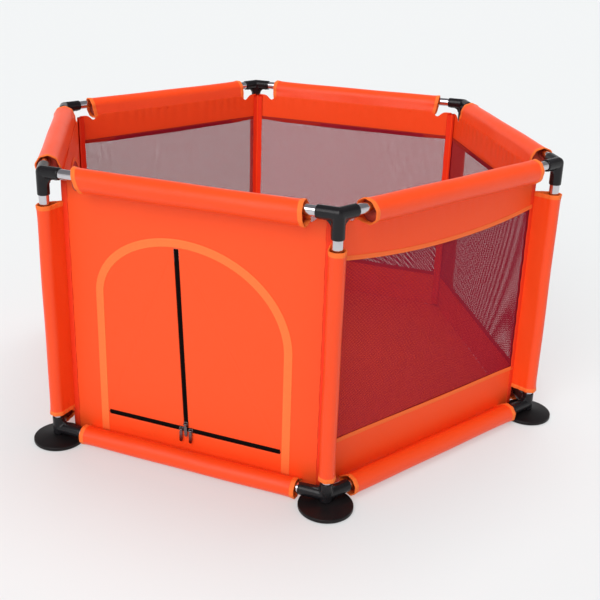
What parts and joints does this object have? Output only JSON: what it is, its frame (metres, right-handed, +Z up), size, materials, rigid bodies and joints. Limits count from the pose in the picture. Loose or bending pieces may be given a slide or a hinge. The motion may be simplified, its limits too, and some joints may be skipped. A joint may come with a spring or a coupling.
{
  "type": "playpen",
  "caption": "Hexagonal fabric playpen: steel tube frame with moulded corner connectors, padded rails, net windows, zipped arch door and suction feet.",
  "frame": {"origin": "on the floor, at the centre of the hexagon", "axes": "+Z up, door facing -Y, +X towards the corner on the door's right as seen from outside"},
  "size_m": [1.416, 1.2418, 0.6539],
  "materials": {
    "steel_tube": "bright plated steel tube",
    "black_plastic": "smooth moulded plastic, semi-gloss",
    "suction_rubber": "soft black vinyl, glossy rim",
    "orange_cloth": "plain woven polyester, light coating",
    "light_tape": "woven binding tape, lighter orange",
    "net": "fine knitted polyester net",
    "foam": "closed-cell foam pipe, hidden",
    "zip_black": "black zip tape with nylon coil teeth",
    "zip_metal": "nickel-plated die-cast zip slider"
  },
  "bodies": {
    "root": {"arch_trim": "light_tape", "arch_window_binding": "light_tape", "arch_window_panel": "orange_cloth", "band_bindings": "light_tape", "base_connector_back_left": "black_plastic", "base_connector_back_right": "black_plastic", "base_connector_front_left": "black_plastic", "base_connector_front_right": "black_plastic", "base_connector_left": "black_plastic", "base_connector_right": "black_plastic", "bottom_band_back": "orange_cloth", "bottom_band_back_left": "orange_cloth", "bottom_band_back_right": "orange_cloth", "bottom_band_front_right": "orange_cloth", "bottom_foam": "foam", "bottom_rails": "steel_tube", "bottom_sleeves": "orange_cloth", "corner_piping": "orange_cloth", "door_panel": "orange_cloth", "floor_mat": "orange_cloth", "net_window_back": "net", "net_window_back_left": "net", "net_window_back_right": "net", "net_window_front_left": "net", "net_window_front_right": "net", "post_sleeves": "orange_cloth", "posts": "steel_tube", "suction_foot_back_left": "suction_rubber", "suction_foot_back_right": "suction_rubber", "suction_foot_front_left": "suction_rubber", "suction_foot_front_right": "suction_rubber", "suction_foot_left": "suction_rubber", "suction_foot_right": "suction_rubber", "top_band_back": "orange_cloth", "top_band_back_left": "orange_cloth", "top_band_back_right": "orange_cloth", "top_band_front_right": "orange_cloth", "top_connector_back_left": "black_plastic", "top_connector_back_right": "black_plastic", "top_connector_front_left": "black_plastic", "top_connector_front_right": "black_plastic", "top_connector_left": "black_plastic", "top_connector_right": "black_plastic", "top_foam": "foam", "top_rails": "steel_tube", "top_sleeves": "orange_cloth", "zip_level_lower": "zip_black"},
    "flap_left": {"door_flap_left": "orange_cloth", "zip_upright_left": "zip_black", "zip_level_left": "zip_black"},
    "flap_right": {"door_flap_right": "orange_cloth", "zip_upright_right": "zip_black", "zip_level_right": "zip_black"},
    "slider_upright": {"slider_upright": "zip_metal"},
    "slider_left": {"slider_left": "zip_metal"},
    "slider_right": {"slider_right": "zip_metal"},
    "pull_upright": {"pull_upright": "zip_metal"},
    "pull_left": {"pull_left": "zip_metal"},
    "pull_right": {"pull_right": "zip_metal"}
  },
  "joints": [
    {"name": "flap_left_fold", "type": "hinge", "parent": "root", "child": "flap_left", "pos_m": [-0.20814, -0.52828, 0.08706], "axis": [-0.3775, 0, -0.926], "range_deg": [0, 150]},
    {"name": "flap_right_fold", "type": "hinge", "parent": "root", "child": "flap_right", "pos_m": [0.20813, -0.52828, 0.08707], "axis": [-0.4932, 0, 0.8699], "range_deg": [0, 150]},
    {"name": "slider_upright_run", "type": "slide", "parent": "root", "child": "slider_upright", "axis": [-0.0451, 0, 0.999], "range_m": [0, 0.397], "deforming": ["zip_upright_left", "zip_upright_right"]},
    {"name": "slider_left_run", "type": "slide", "parent": "root", "child": "slider_left", "axis": [-1, 0, 0], "range_m": [0, 0.174], "deforming": ["zip_level_left", "zip_level_lower"]},
    {"name": "slider_right_run", "type": "slide", "parent": "root", "child": "slider_right", "axis": [1, 0, 0], "range_m": [0, 0.202], "deforming": ["zip_level_right", "zip_level_lower"]},
    {"name": "pull_upright_swing", "type": "hinge", "parent": "slider_upright", "child": "pull_upright", "pos_m": [-0.01465, -0.53277, 0.0955], "axis": [-0.999, 0, -0.0451], "range_deg": [0, 170]},
    {"name": "pull_left_swing", "type": "hinge", "parent": "slider_left", "child": "pull_left", "pos_m": [-0.0255, -0.53277, 0.081], "axis": [-1, 0, 0], "range_deg": [0, 170]},
    {"name": "pull_right_swing", "type": "hinge", "parent": "slider_right", "child": "pull_right", "pos_m": [-0.0025, -0.53277, 0.081], "axis": [-1, 0, 0], "range_deg": [0, 170]}
  ]
}
